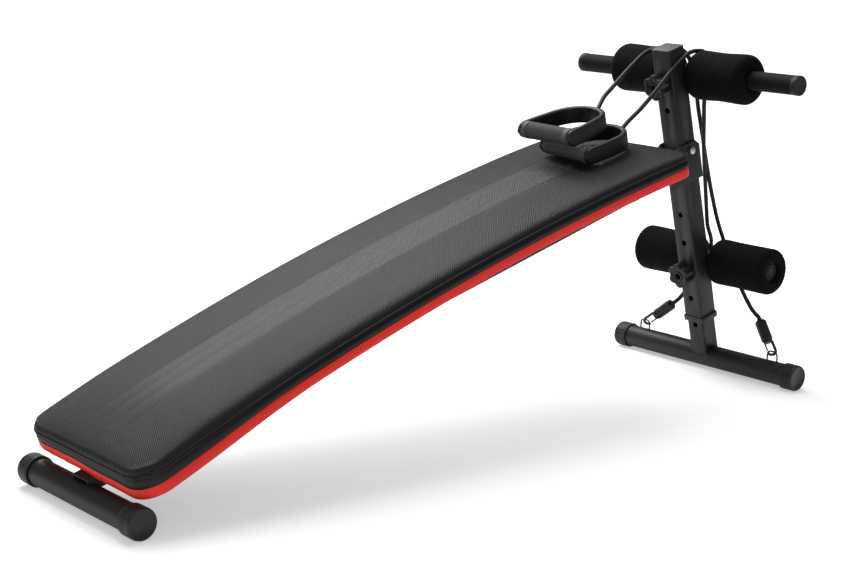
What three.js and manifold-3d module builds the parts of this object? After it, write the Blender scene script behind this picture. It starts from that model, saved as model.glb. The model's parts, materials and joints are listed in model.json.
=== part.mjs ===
// Decline sit up bench: a padded curved board hinged on a telescopic post, foam rollers and pull cords.
// Millimetres, +Z up, +Y from the low front foot to the upright, +X to the right when facing the upright.
import * as THREE from 'three';
import { mergeVertices } from 'three/addons/utils/BufferGeometryUtils.js';
import Module from 'manifold-3d';

const wasm = await Module();
wasm.setup();

// ---- driving dimensions ----
const GAP = 0.3;
const REACH = 60; // half length of a cutting tool, well past any tube's wall
const FRONT_Y = -655;
const REAR_Y = 647;
const POST_LEAN = 15.34;
const RAIL_SLOPE = 15.84;

const FOOT = { r: 20, bore: 18, frontHalf: 147.2, rearHalf: 208.2 };
const CAP = { r: 23, length: 26.8, end: 3.5, facets: 32, chamfer: 1.5 };
const FOOT_AXIS_Z = CAP.r * Math.cos(Math.PI / CAP.facets);

const OUTER = { half: 20, wall: 2, corner: 3, from: 86, to: 587 };
const INNER = { half: 17.5, wall: 2, corner: 2.5, from: 8, to: 300 };
const HOLE_R = 5.4;
const LOWER_BOLT_S = 177;
const UPPER_BOLT_S = 530;
const OUTER_HOLES = [122.4, LOWER_BOLT_S, 231.2, 285.6, 480.5, UPPER_BOLT_S];
const INNER_HOLES = [68, 122.4];
const HEIGHT_TRAVEL = 108.8;
const BUSH = { halfX: 22.6, halfY: 21.2, corner: 3, bore: 17.8, from: 76, to: 85.7 };
const POST_CAP = { thick: 2, plug: 12 };

const BAR = { r: 16.4, bore: 14.4, n: -39, topHalf: 242.6, lowerHalf: 139 };
const FOAM = { bore: 16.8, from: 24 };
const TOP_FOAM = { r: 42, round: 14, to: 146 };
const LOWER_FOAM = { r: 41, round: 9, to: 147 };
const DISC = { thick: 1.5, plug: 9 };
const CLAMP_BOLT = { r: 5, front: -38, headR: 9, crownR: 6, rim: 3, head: 6.5 };
const SADDLE = { halfX: 15, halfZ: 11, depth: 8 };
const KNOB = { r: 19.2, lobe: 2.6, lobes: 6, from: 22.8, to: 48, bevel: 2 };
const WASHER_R = 11;

const PIVOT = { s: 404, r: 4, tip: -41.5, headFrom: 24.2, headTo: 30, nutFrom: -31.5, hexR: 7 };
const PLATE = { near: 20.6, far: 23.6 };
const WEB = { from: 22, thick: 3, low: 347, high: 396 };
const RAIL = { half: 20, low: 8, height: 20, wall: 2, corner: 3, to: 1227 };

const BOARD = { half: 150, length: 1111, base: 15.5, frontCorner: 40, rearCorner: 28, crown: 50 };
const ARC = { r: 5318, y: 1508, z: -4805, start: THREE.MathUtils.degToRad(23.94) };
const BRACKETS = [
  { place: 'front', name: 'front_board_bracket', along: 44, halfY: 24, drop: 28 },
  { place: 'rear', name: 'rear_board_support', along: 1081, halfY: 25, drop: 62 },
];
const BRACKET_PLATE = { halfX: 47, top: -0.5, thick: 3 };
const SCREW = { x: 34, r: 3, headR: 6, clear: 3.4, hole: 3.3, headFoot: -8, neck: -5, tip: 10 };

const HANDLE = { half: 57.8, ear: 5, rod: 8, grip: 14.6, tall: 14.3, collar: 11 };
const CORD_R = 3.75;

// ---- materials ----
function paint(color, roughness, metalness) {
  return new THREE.MeshStandardMaterial({ color, roughness, metalness });
}

const MATERIALS = {
  paint: paint(0x3c3c3e, 0.5, 0.4),
  plastic: paint(0x303032, 0.6, 0),
  knob: paint(0x3a3a3c, 0.5, 0),
  lightCap: paint(0x8c8c8e, 0.5, 0),
  foam: paint(0x161617, 0.9, 0),
  vinyl: paint(0x4c4c4e, 0.7, 0),
  red: paint(0xe0382c, 0.5, 0),
  zinc: paint(0xb8bac0, 0.3, 1),
  steel: paint(0x3a3a3d, 0.35, 0.9),
  cord: paint(0x3a3a3c, 0.6, 0),
  handle: paint(0x3e3e40, 0.55, 0),
};

// ---- helpers ----
const root = new THREE.Group();
root.name = 'decline_sit_up_bench';

function signedVolume(position, index) {
  const a = new THREE.Vector3();
  const b = new THREE.Vector3();
  const c = new THREE.Vector3();
  let volume = 0;
  for (let i = 0; i < index.length; i += 3) {
    a.fromBufferAttribute(position, index[i]);
    b.fromBufferAttribute(position, index[i + 1]);
    c.fromBufferAttribute(position, index[i + 2]);
    volume += a.dot(b.cross(c));
  }
  return volume;
}

function toSolid(geometry) {
  geometry.deleteAttribute('normal');
  geometry.deleteAttribute('uv');
  const merged = mergeVertices(geometry, 1e-4);
  const all = Array.from(merged.index.array);
  const index = [];
  for (let i = 0; i < all.length; i += 3) {
    const [a, b, c] = all.slice(i, i + 3);
    if (a !== b && b !== c && c !== a) index.push(a, b, c);
  }
  if (signedVolume(merged.attributes.position, index) < 0) index.reverse();
  return new wasm.Manifold(new wasm.Mesh({
    numProp: 3,
    vertProperties: new Float32Array(merged.attributes.position.array),
    triVerts: new Uint32Array(index),
  }));
}

function addPart(name, solid, material) {
  const mesh = solid.getMesh();
  const geometry = new THREE.BufferGeometry();
  geometry.setAttribute('position', new THREE.BufferAttribute(new Float32Array(mesh.vertProperties), 3));
  geometry.setIndex(new THREE.BufferAttribute(new Uint32Array(mesh.triVerts), 1));
  geometry.computeVertexNormals();
  const part = new THREE.Mesh(geometry, MATERIALS[material]);
  part.name = name;
  root.add(part);
}

// A frame is a Matrix4; `placed` carries a solid from the frame's own coordinates into the bench's.
const placed = (solid, frame) => solid.transform(frame.elements);
const tilted = (x, y, z, degrees) => new THREE.Matrix4()
  .makeRotationX(THREE.MathUtils.degToRad(degrees))
  .setPosition(x, y, z);

const POST_FRAME = tilted(0, REAR_Y, FOOT_AXIS_Z, POST_LEAN);
const RAIL_FRAME = tilted(0, FRONT_Y, FOOT_AXIS_Z, RAIL_SLOPE);

// A polygon with flats at its right, top, left and bottom.
function polygon(radius, sides) {
  const points = [];
  for (let i = 0; i < sides; i += 1) {
    const angle = ((i + 0.5) / sides) * 2 * Math.PI;
    points.push(new THREE.Vector2(radius * Math.cos(angle), radius * Math.sin(angle)));
  }
  return points;
}

function roundedRect(halfX, halfY, corner, steps = 3) {
  const points = [];
  const centres = [[1, 1, 0], [-1, 1, 90], [-1, -1, 180], [1, -1, 270]];
  for (const [sx, sy, start] of centres) {
    for (let i = 0; i <= steps; i += 1) {
      const angle = THREE.MathUtils.degToRad(start + (90 * i) / steps);
      const x = sx * (halfX - corner) + corner * Math.cos(angle);
      const y = sy * (halfY - corner) + corner * Math.sin(angle);
      points.push(new THREE.Vector2(x, y));
    }
  }
  return points;
}

// Extrudes an outline along +Z from `from` to `to`.
function prism(points, from, to, hole = null) {
  const shape = new THREE.Shape(points);
  if (hole) shape.holes.push(new THREE.Path(hole));
  const geometry = new THREE.ExtrudeGeometry(shape, { depth: to - from, bevelEnabled: false });
  geometry.translate(0, 0, from);
  return toSolid(geometry);
}

const box = (x0, x1, y0, y1, z0, z1) => prism([
  new THREE.Vector2(x0, y0),
  new THREE.Vector2(x1, y0),
  new THREE.Vector2(x1, y1),
  new THREE.Vector2(x0, y1),
], z0, z1);

const rodZ = (radius, from, to, sides = 24) => prism(polygon(radius, sides), from, to);
const alongX = (solid) => solid.rotate([0, 90, 0]);
const alongY = (solid) => solid.rotate([-90, 0, 0]);
const rodX = (radius, from, to, sides = 24) => alongX(rodZ(radius, from, to, sides));
const rodY = (radius, from, to, sides = 24) => alongY(rodZ(radius, from, to, sides));
const mirroredX = (solid) => solid.mirror([1, 0, 0]);

// Turns a closed profile of [radius, height] pairs round the Z axis.
function turned(profile, facets) {
  const points = profile.map(([radius, height]) => new THREE.Vector2(radius, height));
  const geometry = new THREE.LatheGeometry(points, facets, Math.PI / facets);
  geometry.rotateX(Math.PI / 2);
  return toSolid(geometry);
}

// Sweeps a round section along a smooth route of points.
function tube(points, radius, sides, steps, tension = 0.5) {
  const route = points.map(([x, y, z]) => new THREE.Vector3(x, y, z));
  const curve = new THREE.CatmullRomCurve3(route, false, 'centripetal', tension);
  const shape = new THREE.Shape(polygon(radius, sides));
  return toSolid(new THREE.ExtrudeGeometry(shape, { steps, extrudePath: curve, bevelEnabled: false }));
}

// ---- feet ----
function footTube(half) {
  const reach = half - CAP.end - GAP;
  return rodX(FOOT.r, -reach, reach, 32).subtract(rodX(FOOT.bore, -reach - 1, reach + 1, 24));
}

function footCap(half) {
  const mouth = half - CAP.length;
  const floor = half - CAP.end;
  const profile = [
    [0, half], [CAP.r - CAP.chamfer, half], [CAP.r, half - CAP.chamfer], [CAP.r, mouth],
    [FOOT.r + GAP, mouth], [FOOT.r + GAP, floor], [0, floor],
  ];
  return alongX(turned(profile, CAP.facets));
}

const footSets = [['front', FRONT_Y, FOOT.frontHalf], ['rear', REAR_Y, FOOT.rearHalf]];
for (const [place, y, half] of footSets) {
  const at = [0, y, FOOT_AXIS_Z];
  addPart(`${place}_foot_tube`, footTube(half).translate(at), 'paint');
  addPart(`${place}_foot_cap_right`, footCap(half).translate(at), 'plastic');
  addPart(`${place}_foot_cap_left`, mirroredX(footCap(half)).translate(at), 'plastic');
}

// ---- telescopic post (own coordinates: z along the post, -y is its front) ----
const footCope = rodX(FOOT.r + GAP, -REACH, REACH, 32);
const crossHole = (s, radius = HOLE_R) => rodY(radius, -REACH, REACH, 12).translate([0, 0, s]);

const innerBore = roundedRect(INNER.half - INNER.wall, INNER.half - INNER.wall, 0.8, 1);
const innerOutline = roundedRect(INNER.half, INNER.half, INNER.corner, 2);
let innerPost = prism(innerOutline, INNER.from, INNER.to, innerBore)
  .subtract(footCope);
for (const s of INNER_HOLES) innerPost = innerPost.subtract(crossHole(s));
// Above the lowest holes the row is one slot, which leaves the clamp bolt free over the whole travel.
const slotTop = LOWER_BOLT_S + HEIGHT_TRAVEL;
const slot = crossHole(LOWER_BOLT_S, HOLE_R + 0.2)
  .add(box(-HOLE_R, HOLE_R, -REACH, REACH, LOWER_BOLT_S, slotTop))
  .add(crossHole(slotTop, HOLE_R + 0.2));
innerPost = innerPost.subtract(slot);
addPart('inner_post', placed(innerPost, POST_FRAME), 'paint');

const outerBore = roundedRect(OUTER.half - OUTER.wall, OUTER.half - OUTER.wall, 1, 1);
let outerPost = prism(roundedRect(OUTER.half, OUTER.half, OUTER.corner), OUTER.from, OUTER.to, outerBore);
for (const s of OUTER_HOLES) outerPost = outerPost.subtract(crossHole(s));
const pivotHole = rodX(PIVOT.r + GAP, -REACH, REACH, 12).translate([0, 0, PIVOT.s]);
outerPost = outerPost.subtract(pivotHole);
addPart('outer_post', placed(outerPost, POST_FRAME), 'paint');

const bush = prism(roundedRect(BUSH.halfX, BUSH.halfY, BUSH.corner), BUSH.from, BUSH.to,
  roundedRect(BUSH.bore, BUSH.bore, 2.5, 2));
addPart('post_bush', placed(bush, POST_FRAME), 'plastic');

const plugHalf = OUTER.half - OUTER.wall - GAP;
const postCap = prism(roundedRect(OUTER.half, OUTER.half, OUTER.corner),
  OUTER.to + GAP, OUTER.to + GAP + POST_CAP.thick)
  .add(prism(roundedRect(plugHalf, plugHalf, 1, 1), OUTER.to - POST_CAP.plug, OUTER.to + GAP + 0.5));
addPart('post_cap', placed(postCap, POST_FRAME), 'lightCap');

// ---- roller bars, clamp bolts, knobs ----
function rollerBar(half, s) {
  return rodX(BAR.r, -half, half, 24)
    .subtract(rodX(BAR.bore, -half - 1, half + 1, 16))
    .subtract(rodY(HOLE_R, -REACH, REACH, 12))
    .translate([0, -BAR.n, s]);
}

function saddle(s) {
  const { halfX, halfZ, depth } = SADDLE;
  return box(-halfX, halfX, OUTER.half + GAP, OUTER.half + depth, s - halfZ, s + halfZ)
    .subtract(rodX(BAR.r + GAP, -REACH, REACH, 24).translate([0, -BAR.n, s]))
    .subtract(crossHole(s));
}

function clampBolt(s) {
  const { r, front, headR, crownR, rim, head } = CLAMP_BOLT;
  const back = -BAR.n + BAR.r + GAP;
  const top = back + head;
  const profile = [[0, back], [headR, back], [headR, back + rim], [crownR, top - 0.5], [0, top]];
  return alongY(turned(profile, 16).add(rodZ(r, front, back + 1, 12))).translate([0, 0, s]);
}

function knobOutline() {
  const points = [];
  const steps = 36;
  for (let i = 0; i < steps; i += 1) {
    const angle = (i / steps) * 2 * Math.PI;
    const radius = KNOB.r + KNOB.lobe * Math.cos(KNOB.lobes * angle);
    points.push(new THREE.Vector2(radius * Math.sin(angle), radius * Math.cos(angle)));
  }
  return points;
}

// A star knob on the post's front, its bolt hole open to the front.
function starKnob(s) {
  const { from, to, bevel } = KNOB;
  const geometry = new THREE.ExtrudeGeometry(new THREE.Shape(knobOutline()), {
    depth: to - from - 2 * bevel,
    bevelEnabled: true,
    bevelThickness: bevel,
    bevelSize: bevel,
    bevelSegments: 2,
  });
  geometry.translate(0, 0, from + bevel);
  const solid = toSolid(geometry).subtract(rodZ(CLAMP_BOLT.r + GAP, 0, REACH, 12));
  return solid.rotate([90, 0, 0]).translate([0, 0, s]);
}

function knobWasher(s) {
  const hole = polygon(CLAMP_BOLT.r + GAP, 12);
  const ring = prism(polygon(WASHER_R, 20), OUTER.half + GAP, KNOB.from - GAP, hole);
  return ring.rotate([90, 0, 0]).translate([0, 0, s]);
}

function foam({ r, round, to }, s) {
  const { bore, from } = FOAM;
  const steps = 3;
  const profile = [[bore, from], [bore, to]];
  for (let i = steps; i >= 0; i -= 1) {
    const angle = (i / steps) * (Math.PI / 2);
    profile.push([r - round + round * Math.cos(angle), to - round + round * Math.sin(angle)]);
  }
  for (let i = 0; i <= steps; i += 1) {
    const angle = (i / steps) * (Math.PI / 2);
    profile.push([r - round + round * Math.cos(angle), from + round - round * Math.sin(angle)]);
  }
  profile.push([bore, from]);
  return alongX(turned(profile, 28)).translate([0, -BAR.n, s]);
}

const barSets = [
  ['top', UPPER_BOLT_S, BAR.topHalf, TOP_FOAM, BAR.r],
  ['lower', LOWER_BOLT_S, BAR.lowerHalf, LOWER_FOAM, BAR.bore - 1],
];
for (const [place, s, half, foamSize, discRadius] of barSets) {
  addPart(`${place}_bar`, placed(rollerBar(half, s), POST_FRAME), 'paint');
  addPart(`${place}_saddle`, placed(saddle(s), POST_FRAME), 'plastic');
  addPart(`${place}_clamp_bolt`, placed(clampBolt(s), POST_FRAME), 'zinc');
  addPart(`${place}_knob_washer`, placed(knobWasher(s), POST_FRAME), 'zinc');
  addPart(`${place}_knob`, placed(starKnob(s), POST_FRAME), 'knob');
  const disc = rodX(discRadius, half + GAP, half + GAP + DISC.thick, 24)
    .add(rodX(BAR.bore - 2 * GAP, half - DISC.plug, half + 1, 16))
    .translate([0, -BAR.n, s]);
  const oneFoam = foam(foamSize, s);
  addPart(`${place}_bar_end_right`, placed(disc, POST_FRAME), 'lightCap');
  addPart(`${place}_bar_end_left`, placed(mirroredX(disc), POST_FRAME), 'lightCap');
  addPart(`${place}_foam_right`, placed(oneFoam, POST_FRAME), 'foam');
  addPart(`${place}_foam_left`, placed(mirroredX(oneFoam), POST_FRAME), 'foam');
}

// ---- board hinge ----
const pivotBolt = rodX(PIVOT.r, PIVOT.tip, PIVOT.headFrom + 1, 12)
  .add(rodX(PIVOT.hexR, PIVOT.headFrom, PIVOT.headTo, 6))
  .translate([0, 0, PIVOT.s]);
const pivotNut = rodX(PIVOT.hexR, PIVOT.nutFrom, -PLATE.far - GAP, 6)
  .translate([0, 0, PIVOT.s])
  .subtract(pivotHole);
addPart('pivot_bolt', placed(pivotBolt, POST_FRAME), 'zinc');
addPart('pivot_nut', placed(pivotNut, POST_FRAME), 'zinc');

const sideOutline = [[-60, 349], [25, 347], [25, 408], [15, 418], [-25, 418], [-60, 392]]
  .map(([y, z]) => new THREE.Vector2(-z, y));
const sidePlate = alongX(prism(sideOutline, PLATE.near, PLATE.far));
const rearBracket = sidePlate
  .add(mirroredX(sidePlate))
  .add(box(-PLATE.far, PLATE.far, WEB.from, WEB.from + WEB.thick, WEB.low, WEB.high))
  .subtract(pivotHole);
addPart('rear_bracket', placed(rearBracket, POST_FRAME), 'paint');

// ---- main rail (own coordinates: y up the rail from the front foot's axis, z off its top) ----
const railSection = (halfX, height, low, corner, steps) => roundedRect(halfX, height / 2, corner, steps)
  .map((p) => new THREE.Vector2(p.x, p.y - low - height / 2));
const railPrism = prism(
  railSection(RAIL.half, RAIL.height, RAIL.low, RAIL.corner, 3), 0, RAIL.to,
  railSection(RAIL.half - RAIL.wall, RAIL.height - 2 * RAIL.wall, RAIL.low + RAIL.wall, 1, 1),
);
const mainRail = alongY(railPrism).subtract(footCope);
addPart('main_rail', placed(mainRail, RAIL_FRAME), 'paint');

// ---- curved board (flat coordinates: x across, y along the underside, z off it, bent to the arc) ----
function bent(geometry) {
  const position = geometry.attributes.position;
  for (let i = 0; i < position.count; i += 1) {
    const angle = ARC.start - position.getY(i) / ARC.r;
    const radius = ARC.r + position.getZ(i);
    position.setY(i, ARC.y - radius * Math.sin(angle));
    position.setZ(i, ARC.z + radius * Math.cos(angle));
  }
  return toSolid(geometry);
}

const SPILL = 10; // how far a swept section runs past each end of the board before it is cut to outline

function boardSweep(section) {
  const geometry = new THREE.ExtrudeGeometry(new THREE.Shape(section), {
    depth: BOARD.length + 2 * SPILL,
    steps: 20,
    bevelEnabled: false,
  });
  geometry.rotateX(Math.PI / 2);
  geometry.translate(0, BOARD.length + SPILL, 0);
  return bent(geometry);
}

function boardOutline() {
  const points = [];
  const { half, length, frontCorner, rearCorner } = BOARD;
  const corners = [
    [half - frontCorner, frontCorner, frontCorner, -90],
    [half - rearCorner, length - rearCorner, rearCorner, 0],
    [rearCorner - half, length - rearCorner, rearCorner, 90],
    [frontCorner - half, frontCorner, frontCorner, 180],
  ];
  for (const [x, y, radius, start] of corners) {
    for (let i = 0; i <= 5; i += 1) {
      const angle = THREE.MathUtils.degToRad(start + 18 * i);
      points.push(new THREE.Vector2(x + radius * Math.cos(angle), y + radius * Math.sin(angle)));
    }
  }
  return points;
}

const SLAB = { foot: -60, top: 100 };
const outlineGeometry = new THREE.ExtrudeGeometry(new THREE.Shape(boardOutline()), {
  depth: SLAB.top - SLAB.foot,
  bevelEnabled: false,
});
outlineGeometry.translate(0, 0, SLAB.foot);
const outlineSolid = bent(outlineGeometry);

const xz = ([x, z]) => new THREE.Vector2(x, z);
const wide = BOARD.half + SPILL;
const baseSection = [[-wide, 0], [wide, 0], [wide, BOARD.base], [-wide, BOARD.base]].map(xz);
let boardBase = boardSweep(baseSection).intersect(outlineSolid);

// Across the board the pad is highest along the middle and rounds over at both sides.
const padFoot = BOARD.base + GAP;
const padRight = [[150.5, padFoot], [150, 31], [147, 37.5], [138, 43], [108, 47.5], [60, 49.5],
  [20, BOARD.crown]];
const padSection = [...padRight, ...padRight.map(([x, z]) => [-x, z]).reverse()].map(xz);

// Seen from the side, the pad falls away gently at its front end and is fuller at its rear end.
const padFront = [[-1, 30], [3, 35.5], [13, 40], [42, 45], [90, 49], [150, BOARD.crown]];
const padRear = [[-1, 31], [3, 37.5], [12, 43], [40, 47.5], [90, 49.5], [150, BOARD.crown]];
const alongTop = [...padFront];
for (let y = 231; y < BOARD.length - 180; y += 81) alongTop.push([y, BOARD.crown + 1]);
for (const [y, z] of [...padRear].reverse()) alongTop.push([BOARD.length - y, z]);
const sideOutlineOfPad = [[-1, -40], ...alongTop, [BOARD.length + 1, -40]];
const sideShape = new THREE.Shape(sideOutlineOfPad.map(([y, z]) => new THREE.Vector2(-z, y)));
const sideGeometry = new THREE.ExtrudeGeometry(sideShape, { depth: 2 * wide, bevelEnabled: false });
sideGeometry.translate(0, 0, -wide);
sideGeometry.rotateY(Math.PI / 2);
const pad = boardSweep(padSection).intersect(outlineSolid).intersect(bent(sideGeometry));
addPart('pad', pad, 'vinyl');

// ---- board brackets and screws (own coordinates: z off the board's underside) ----
function boardFrame(along) {
  const angle = ARC.start - along / ARC.r;
  return tilted(0, ARC.y - ARC.r * Math.sin(angle), ARC.z + ARC.r * Math.cos(angle),
    THREE.MathUtils.radToDeg(angle));
}

function boardBracket(halfY, drop) {
  const { halfX, top, thick } = BRACKET_PLATE;
  const flange = box(PLATE.near, PLATE.far, -halfY, halfY, -drop, top - thick + 0.5);
  const screwClear = rodZ(SCREW.clear, -20, 20, 12);
  return box(-halfX, halfX, -halfY, halfY, top - thick, top)
    .add(flange)
    .add(mirroredX(flange))
    .subtract(screwClear.translate([SCREW.x, 0, 0]))
    .subtract(screwClear.translate([-SCREW.x, 0, 0]));
}

const screw = rodZ(SCREW.r, SCREW.neck, SCREW.tip, 10)
  .add(rodZ(SCREW.headR, SCREW.headFoot, SCREW.neck + 1, 16));
const screwHole = rodZ(SCREW.hole, SCREW.neck, SCREW.tip + 1, 12);
for (const { place, name, along, halfY, drop } of BRACKETS) {
  const frame = boardFrame(along);
  addPart(name, placed(boardBracket(halfY, drop), frame), 'paint');
  for (const [side, x] of [['right', SCREW.x], ['left', -SCREW.x]]) {
    addPart(`${place}_screw_${side}`, placed(screw.translate([x, 0, 0]), frame), 'zinc');
    boardBase = boardBase.subtract(placed(screwHole.translate([x, 0, 0]), frame));
  }
}
addPart('board_base', boardBase, 'red');

// ---- eyes and snap hooks on the rear foot ----
const EYE = { x: 150, r: 1.5, half: 10.5, top: 60 };
const eyeFoot = FOOT_AXIS_Z + FOOT.r + GAP;
for (const [side, x] of [['right', EYE.x], ['left', -EYE.x]]) {
  const { half, top } = EYE;
  const route = [[-half, eyeFoot], [-half, top - 7], [-half + 2, top - 2], [-half + 7, top],
    [half - 7, top], [half - 2, top - 2], [half, top - 7], [half, eyeFoot]];
  addPart(`eye_${side}`, tube(route.map(([dx, z]) => [x + dx, REAR_Y, z]), EYE.r, 8, 14), 'steel');
}

const HOOK = { arm: 7.5, wire: 2.5, gate: 1.4, collar: 28, barrel: 42, barrelR: 10.2, ferruleR: 4.6,
  ferrule: 4 };

// z runs from the bend of the hook to its cord, x across its two arms.
function hookFrame(bend, axis, across) {
  const z = new THREE.Vector3(...axis).normalize();
  const x = new THREE.Vector3(...across);
  x.addScaledVector(z, -x.dot(z)).normalize();
  return new THREE.Matrix4().makeBasis(x, z.clone().cross(x), z).setPosition(...bend);
}

const HOOKS = {
  right: hookFrame([152, 646, 55], [-0.654, 0.236, 0.719], [0.526, 0.825, 0.207]),
  left: hookFrame([-148.5, 646, 54.5], [0.735, 0.214, 0.643], [-0.369, -0.67, 0.645]),
};

const { arm, collar } = HOOK;
const hookWire = tube([[arm, 0, collar - 2], [arm, 0, 16], [arm, 0, 7], [arm * 0.72, 0, 1.8], [0, 0, 0],
  [-arm * 0.72, 0, 1.8], [-arm, 0, 6]], HOOK.wire, 8, 16);
const hookBody = hookWire
  .add(rodZ(8, collar - 3, collar, 16).translate([1, 0, 0]))
  .subtract(box(-20, -3.5, -2, 2, collar - 6, collar - 0.8));
const hookGate = rodZ(HOOK.gate, 9.4, collar - 3.6, 8).translate([-arm + 1, 0, 0])
  .add(box(-arm - 0.4, -arm + 2.4, -1.6, 1.6, collar - 4, collar - 1.2));
const { barrel: barrelLength, barrelR, ferruleR } = HOOK;
const barrelFrom = collar + GAP;
const barrelTo = collar + barrelLength;
const barrel = turned([[0, barrelFrom], [barrelR - 3, barrelFrom], [barrelR, barrelFrom + 3],
  [barrelR, barrelTo - 4], [barrelR - 4, barrelTo], [0, barrelTo]], 20);
const ferrule = rodZ(ferruleR, barrelTo + GAP, barrelTo + HOOK.ferrule, 14);
for (const [side, frame] of Object.entries(HOOKS)) {
  addPart(`hook_${side}`, placed(hookBody, frame), 'steel');
  addPart(`hook_gate_${side}`, placed(hookGate, frame), 'steel');
  addPart(`hook_barrel_${side}`, placed(barrel, frame), 'plastic');
  addPart(`cord_ferrule_${side}`, placed(ferrule, frame), 'plastic');
}

// ---- handles (own coordinates: x along the grip, y towards the cord, z off the pad) ----
function handleBand() {
  const { half, ear, rod, tall } = HANDLE;
  const outer = [[half + ear, -8], [half + ear, 12], [60.5, 30], [57.5, 51.7], [53.2, 72.9], [41, 90.9],
    [22.5, 102.9], [0, 107]];
  const inner = [[half, -8], [half, 15.5], [53, 21], [50.8, 36], [48, 52], [44.3, 69.6], [34.3, 84.1],
    [18.6, 93.6], [0, 97]];
  const ring = [...outer, ...outer.slice(0, -1).reverse().map(([x, y]) => [-x, y]),
    ...inner.slice(0, -1).map(([x, y]) => [-x, y]), ...[...inner].reverse()];
  const shape = new THREE.Shape(ring.map(([x, y]) => new THREE.Vector2(x, y)));
  const geometry = new THREE.ExtrudeGeometry(shape, { depth: 2 * tall, bevelEnabled: false });
  geometry.translate(0, 0, -tall);
  return toSolid(geometry)
    .add(rodX(rod, -half - 2, half + 2, 16))
    .add(rodX(tall, half, half + ear, 24))
    .add(rodX(tall, -half - ear, -half, 24));
}

function handleGrip() {
  const { half, grip, rod, collar } = HANDLE;
  const end = half - GAP;
  const bore = rod + GAP;
  const waist = grip - 1.2;
  const inside = end - collar;
  const rightHalf = [[waist, inside - 1], [grip, inside], [grip, end - 1], [grip - 1, end], [bore, end]];
  const leftHalf = rightHalf.map(([r, x]) => [r, -x]).reverse();
  return alongX(turned([...leftHalf, ...rightHalf, leftHalf[0]], 24));
}

function handleFrame(centre, yaw, pitch, roll) {
  const turn = new THREE.Euler(...[pitch, roll, yaw].map(THREE.MathUtils.degToRad), 'ZXY');
  return new THREE.Matrix4().makeRotationFromEuler(turn).setPosition(...centre);
}

const HANDLES = {
  a: handleFrame([-13.8, 225.4, 457.5], -2.66, 14.37, 0.57),
  b: handleFrame([7.8, 251.8, 430.9], -7.9, 13.16, 2),
};
for (const [key, frame] of Object.entries(HANDLES)) {
  addPart(`handle_${key}`, placed(handleBand(), frame), 'handle');
  addPart(`grip_${key}`, placed(handleGrip(), frame), 'handle');
}

// ---- cords: cord a runs from handle a to the right hook, cord b from handle b to the left hook ----
const ROUTES = {
  cord_a_front: [[-12.7, 329.6, 484.2], [-12.7, 333, 485.2], [-15.5, 341, 491.5], [-25, 365, 509.3],
    [-30, 385, 520.1], [-36, 425, 545], [-40, 455, 563], [-41, 485, 580], [-32, 507, 587], [-25, 534, 585],
    [-24.5, 544.6, 585]],
  cord_b_front: [[18.5, 356, 455.5], [19, 359.4, 456.5], [19, 368, 462.5], [17.6, 381, 471.4],
    [16, 397, 480.3], [15.1, 411.5, 489], [20, 431, 508.7], [24, 450, 528.5], [26, 471, 550], [26, 503, 574],
    [25, 518, 581.5], [24.5, 534, 585], [24.5, 544.6, 585]],
  cord_a_rear: [[-24.5, 545.4, 585], [-24.5, 556, 584], [-24, 574, 573], [-18, 585, 546], [-7.2, 593, 477],
    [-7.1, 606, 437], [-8.6, 624, 385.2], [-9.3, 648, 319.5], [-9.2, 670, 267.6], [-4, 682, 235],
    [4, 686, 211], [15.4, 686, 191.6], [29.9, 683, 172], [47.5, 679, 151.3], [62.7, 675, 136],
    [81.2, 670, 120.5], [93, 666.4, 114.6], [101.1, 664.3, 111], [103.5, 663.5, 108.4]],
  cord_b_rear: [[24.5, 545.4, 585], [24.5, 556, 584], [24, 574, 573], [18, 585, 546], [9, 588, 500],
    [5.8, 594, 458], [1, 603, 418], [-10.9, 627, 353.7], [-17.7, 644, 300], [-23.2, 658, 261],
    [-28.2, 677, 232], [-35, 685, 208], [-48, 686, 184.7], [-61.7, 681, 156.1], [-74.3, 675, 133.5],
    [-83.5, 668, 115], [-91.2, 662.8, 104.7], [-93.8, 661.9, 102.4]],
};
const CORD_STEPS = { cord_a_front: 16, cord_b_front: 14, cord_a_rear: 30, cord_b_rear: 28 };
for (const [name, route] of Object.entries(ROUTES)) {
  addPart(name, tube(route, CORD_R, 8, CORD_STEPS[name]), 'cord');
}

export default root;
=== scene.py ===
"""Looks of the decline sit up bench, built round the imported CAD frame. Blender 4.5, metres."""
import json
import math

import bmesh
import bpy
import numpy as np
from mathutils import Matrix, Vector

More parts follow.
